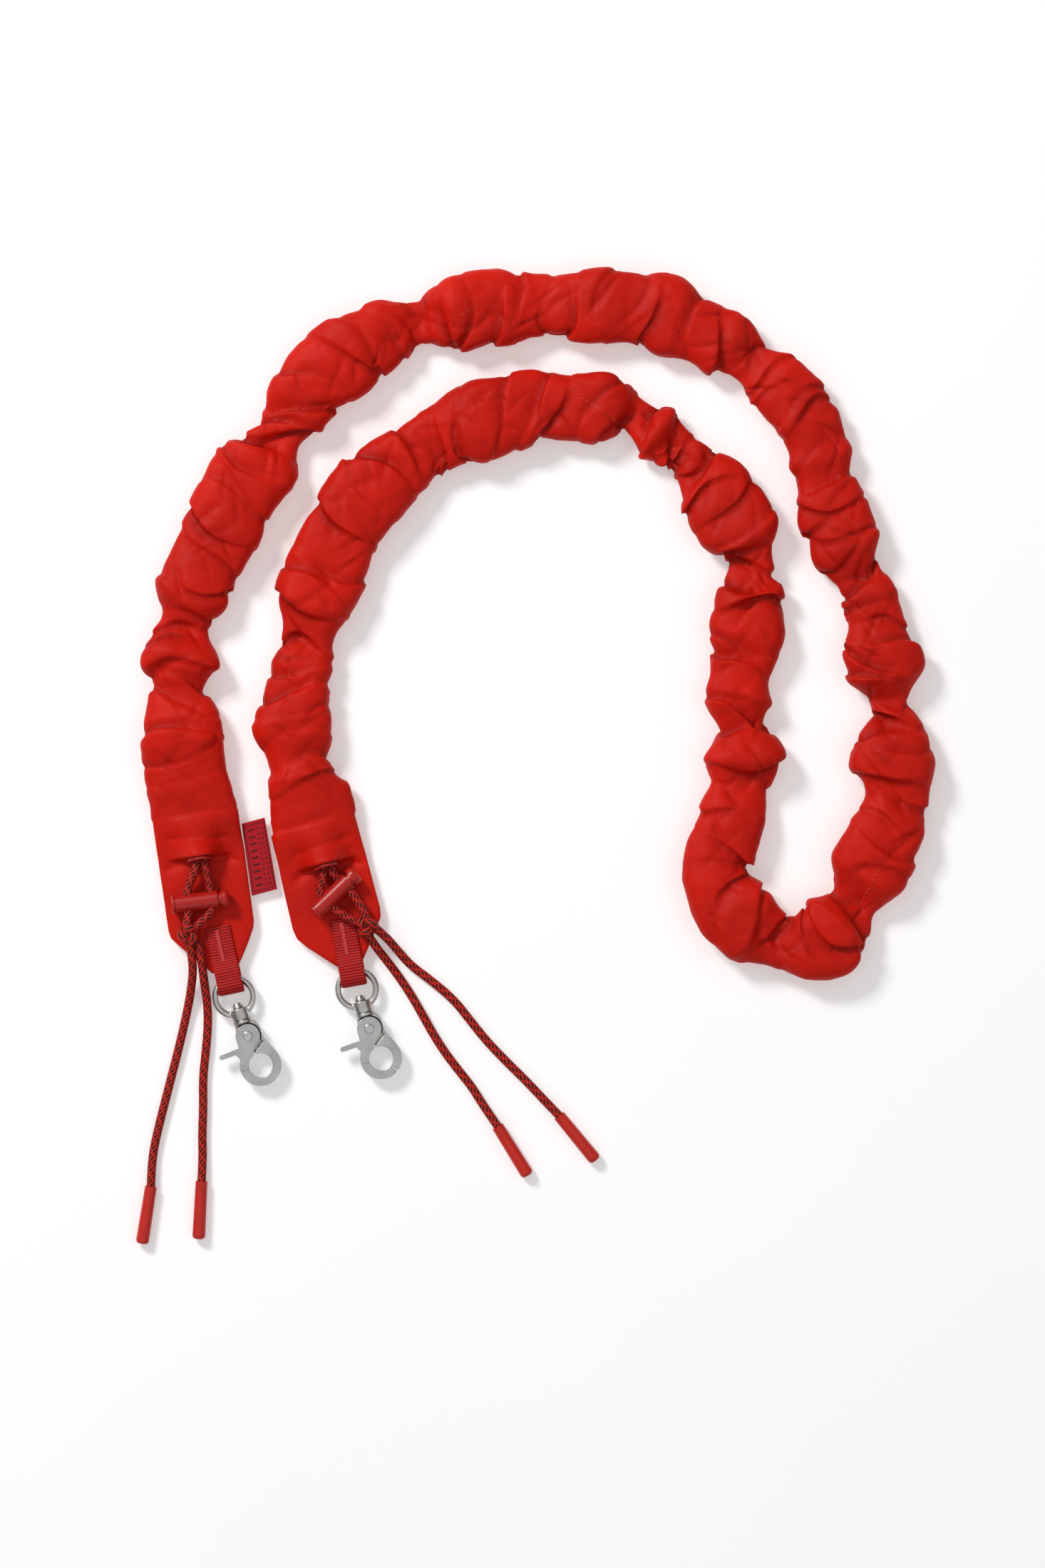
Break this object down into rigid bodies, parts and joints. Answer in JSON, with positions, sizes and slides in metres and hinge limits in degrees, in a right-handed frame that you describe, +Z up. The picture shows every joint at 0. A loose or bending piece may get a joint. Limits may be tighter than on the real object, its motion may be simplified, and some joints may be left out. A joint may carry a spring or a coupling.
{
  "type": "ruched shoulder strap",
  "caption": "Ruched fabric shoulder strap with drawcords, cord locks, flat padded ends and swivelling trigger snap hooks on webbing tabs.",
  "frame": {"origin": "middle of the strap's footprint on the surface that it lies on, free cords left out", "axes": "+Z up from the surface, +Y from the hooks to the top of the strap's arch, +X to the doubled-back side"},
  "size_m": [0.3263, 0.4016, 0.0168],
  "materials": {
    "nylon_sleeve": "crisp woven nylon, ruched",
    "nylon_panel": "crisp woven nylon, flat",
    "webbing": "ribbed grosgrain",
    "cord": "braided, red with black flecks",
    "foam": "matte foam sheet",
    "thread": "zigzag stitching",
    "label_fabric": "woven label",
    "eyelet_metal": "gloss red enamel",
    "lock_plastic": "gloss red acetal",
    "button_plastic": "gloss red acetal",
    "tip_plastic": "satin red moulding",
    "hook_nickel": "satin nickel plate",
    "rivet_nickel": "polished nickel plate",
    "spring_steel": "bright wire"
  },
  "bodies": {
    "root": {"bartack_left": "thread", "bartack_right": "thread", "cord_knot_left": "cord", "cord_knot_right": "cord", "cord_tail_left_a": "cord", "cord_tail_left_b": "cord", "cord_tail_right_a": "cord", "cord_tail_right_b": "cord", "cord_tip_left_a": "tip_plastic", "cord_tip_left_b": "tip_plastic", "cord_tip_right_a": "tip_plastic", "cord_tip_right_b": "tip_plastic", "cord_to_knot_left": "cord", "cord_to_knot_right": "cord", "cord_to_lock_left": "cord", "cord_to_lock_right": "cord", "drawcord_inner": "cord", "drawcord_outer": "cord", "end_cover_left": "nylon_panel", "end_cover_right": "nylon_panel", "end_padding_left": "foam", "end_padding_right": "foam", "eyelet_left": "eyelet_metal", "eyelet_right": "eyelet_metal", "eyelet_washer_left": "eyelet_metal", "eyelet_washer_right": "eyelet_metal", "fabric_sleeve": "nylon_sleeve", "webbing_tab_left": "webbing", "webbing_tab_right": "webbing"},
    "left_eye": {"hook_eye_left": "hook_nickel"},
    "left_hook": {"hook_frame_left": "hook_nickel", "trigger_rivet_left": "rivet_nickel", "trigger_spring_left": "spring_steel"},
    "left_trigger": {"hook_trigger_left": "hook_nickel"},
    "left_lock": {"lock_barrel_left": "lock_plastic", "lock_spring_left": "spring_steel"},
    "left_plunger": {"lock_plunger_left": "button_plastic"},
    "right_eye": {"hook_eye_right": "hook_nickel"},
    "right_hook": {"hook_frame_right": "hook_nickel", "trigger_rivet_right": "rivet_nickel", "trigger_spring_right": "spring_steel"},
    "right_trigger": {"hook_trigger_right": "hook_nickel"},
    "right_lock": {"lock_barrel_right": "lock_plastic", "lock_spring_right": "spring_steel"},
    "right_plunger": {"lock_plunger_right": "button_plastic"},
    "label": {"side_label": "label_fabric"}
  },
  "joints": [
    {"name": "left_eye_swing", "type": "hinge", "parent": "root", "child": "left_eye", "pos_m": [-0.12598, -0.12467, 0.0043], "axis": [0.9426, 0.3338, 0], "range_deg": [-80, 80]},
    {"name": "left_swivel", "type": "hinge", "parent": "left_eye", "child": "left_hook", "pos_m": [-0.118, -0.1472, 0.0043], "axis": [-0.3338, 0.9426, 0], "continuous": true},
    {"name": "left_trigger_turn", "type": "hinge", "parent": "left_hook", "child": "left_trigger", "pos_m": [-0.118, -0.1472, 0.0043], "axis": [0, 0, -1], "range_deg": [0, 30], "stiffness_Nm_per_rad": 0.05, "springref_deg": -17.19, "deforming": ["trigger_spring_left"]},
    {"name": "left_lock_slide", "type": "slide", "parent": "root", "child": "left_lock", "axis": [0.1219, -0.9925, 0], "range_m": [-0.008, 0.002], "deforming": ["cord_to_lock_left", "cord_to_knot_left"]},
    {"name": "left_plunger_press", "type": "slide", "parent": "left_lock", "child": "left_plunger", "axis": [-0.9925, -0.1219, 0], "range_m": [0, 0.0015], "stiffness_N_per_m": 1200, "springref_m": -0.002, "deforming": ["lock_spring_left"]},
    {"name": "right_eye_swing", "type": "hinge", "parent": "root", "child": "right_eye", "pos_m": [-0.07509, -0.12141, 0.0043], "axis": [0.9537, 0.3007, 0], "range_deg": [-80, 80]},
    {"name": "right_swivel", "type": "hinge", "parent": "right_eye", "child": "right_hook", "pos_m": [-0.0679, -0.1442, 0.0043], "axis": [-0.3007, 0.9537, 0], "continuous": true},
    {"name": "right_trigger_turn", "type": "hinge", "parent": "right_hook", "child": "right_trigger", "pos_m": [-0.0679, -0.1442, 0.0043], "axis": [0, 0, -1], "range_deg": [0, 30], "stiffness_Nm_per_rad": 0.05, "springref_deg": -17.19, "deforming": ["trigger_spring_right"]},
    {"name": "right_lock_slide", "type": "slide", "parent": "root", "child": "right_lock", "axis": [0.6947, -0.7193, 0], "range_m": [-0.002, 0.004], "deforming": ["cord_to_lock_right", "cord_to_knot_right"]},
    {"name": "right_plunger_press", "type": "slide", "parent": "right_lock", "child": "right_plunger", "axis": [-0.7193, -0.6947, 0], "range_m": [0, 0.0015], "stiffness_N_per_m": 1200, "springref_m": -0.002, "deforming": ["lock_spring_right"]},
    {"name": "label_fold", "type": "hinge", "parent": "root", "child": "label", "pos_m": [-0.12095, -0.05964, 0.0032], "axis": [0.1392, -0.9903, 0], "range_deg": [-75, 75]}
  ]
}
